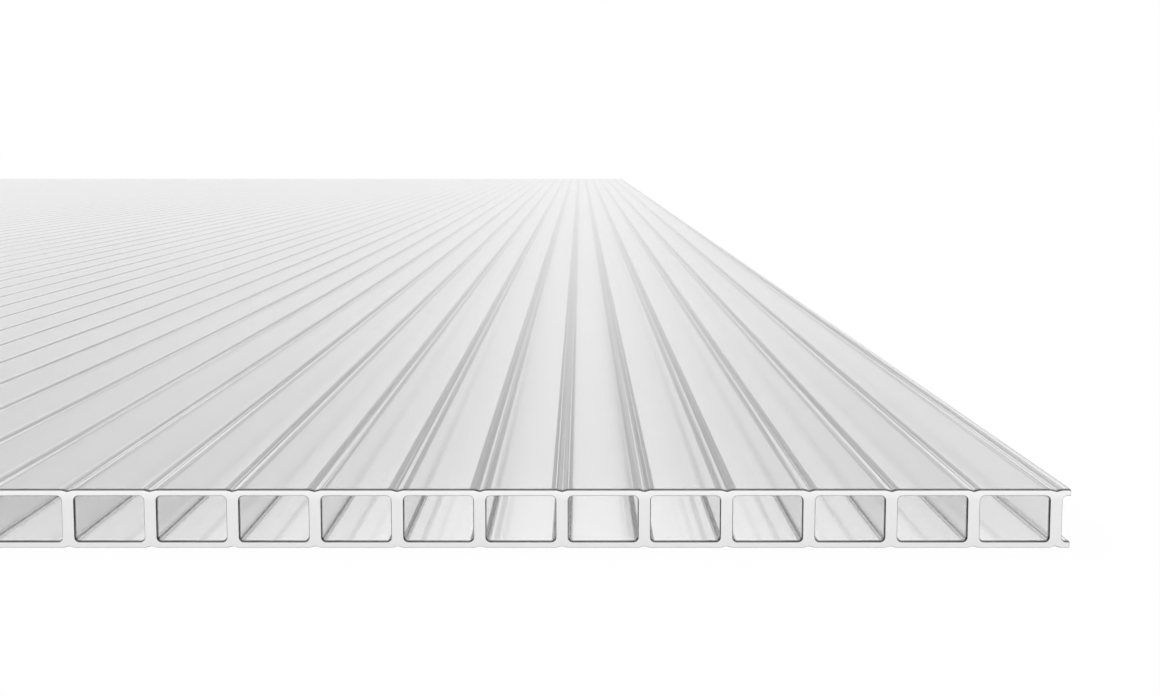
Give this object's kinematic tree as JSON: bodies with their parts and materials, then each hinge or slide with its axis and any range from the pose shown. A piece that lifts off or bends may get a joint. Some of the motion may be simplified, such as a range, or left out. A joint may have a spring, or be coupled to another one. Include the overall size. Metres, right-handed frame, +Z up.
{
  "type": "multiwall polycarbonate sheet",
  "caption": "Flat clear twin-wall plastic glazing sheet: two thin skins joined by upright webs, with open rectangular flutes along its length.",
  "frame": {"origin": "middle of the sheet's underside, on the floor it lies on", "axes": "+X across the webs, +Y along the flutes, +Z up through the thickness"},
  "size_m": [1.049, 2.5, 0.008],
  "materials": {
    "clear_polycarbonate": "clear, smooth and glossy as extruded"
  },
  "bodies": {
    "root": {"sheet": "clear_polycarbonate"}
  },
  "joints": []
}
